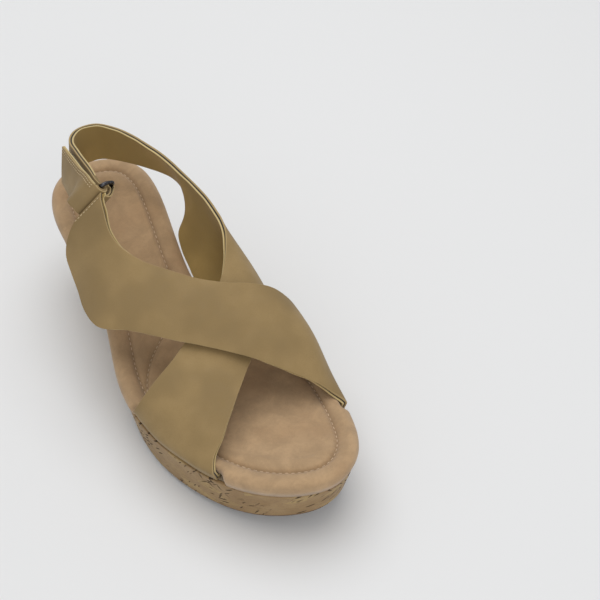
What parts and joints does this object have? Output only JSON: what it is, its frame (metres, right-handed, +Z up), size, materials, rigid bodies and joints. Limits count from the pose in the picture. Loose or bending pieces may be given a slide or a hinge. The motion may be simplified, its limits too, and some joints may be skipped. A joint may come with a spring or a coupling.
{
  "type": "wedge sandal",
  "caption": "Woman's open-toe wedge sandal with crossed straps over the foot, a sling round the heel, a wire ring and a hook-and-loop tab.",
  "frame": {"origin": "on the flat bottom of the outsole, under the arch, 129 mm behind the toe's tip", "axes": "+Z up, -Y towards the toe, +Y towards the heel, -X towards the outer side of a right foot, where the fastening is"},
  "size_m": [0.1046, 0.265, 0.1195],
  "materials": {
    "outsole": "matt moulded rubber with a fine tread",
    "core": "expanded foam",
    "cork": "cork-patterned wrap, satin",
    "filler": "pressed filler",
    "board": "pressed fibre board",
    "shank": "plain spring steel",
    "rivet": "plain steel",
    "foam": "open-cell foam",
    "suede": "suede, matt with a soft nap",
    "strap_leather": "nubuck-look leather, matt",
    "tape": "woven reinforcing tape",
    "lining": "smooth lining leather, satin",
    "hook_tape": "hook tape",
    "loop_tape": "loop tape",
    "ring": "dark plated wire"
  },
  "bodies": {
    "sandal": {"outsole": "outsole", "wedge_core": "core", "cork_wrap": "cork", "bottom_filler": "filler", "shank_board": "board", "steel_shank": "shank", "shank_rivet_front": "rivet", "shank_rivet_rear": "rivet", "insole_board": "board", "footbed_foam": "foam", "footbed_cover": "suede", "cross_strap_leather": "strap_leather", "cross_strap_tape": "tape", "cross_strap_lining": "lining", "sling_leather": "strap_leather", "sling_tape": "tape", "sling_lining": "lining", "sling_fold": "strap_leather", "loop_tape": "loop_tape", "ring_keeper": "strap_leather"},
    "tab": {"tab": "strap_leather", "hook_tape": "hook_tape"},
    "ring": {"ring": "ring"}
  },
  "joints": [
    {"name": "tab_peel", "type": "hinge", "parent": "sandal", "child": "tab", "pos_m": [-0.02545, 0.06426, 0.11158], "axis": [0.5818, -0.298, 0.7568], "range_deg": [0, 130]},
    {"name": "ring_pivot", "type": "hinge", "parent": "sandal", "child": "ring", "pos_m": [-0.01457, 0.06639, 0.10405], "axis": [0.5818, -0.298, 0.7568], "range_deg": [-4, 4]}
  ]
}
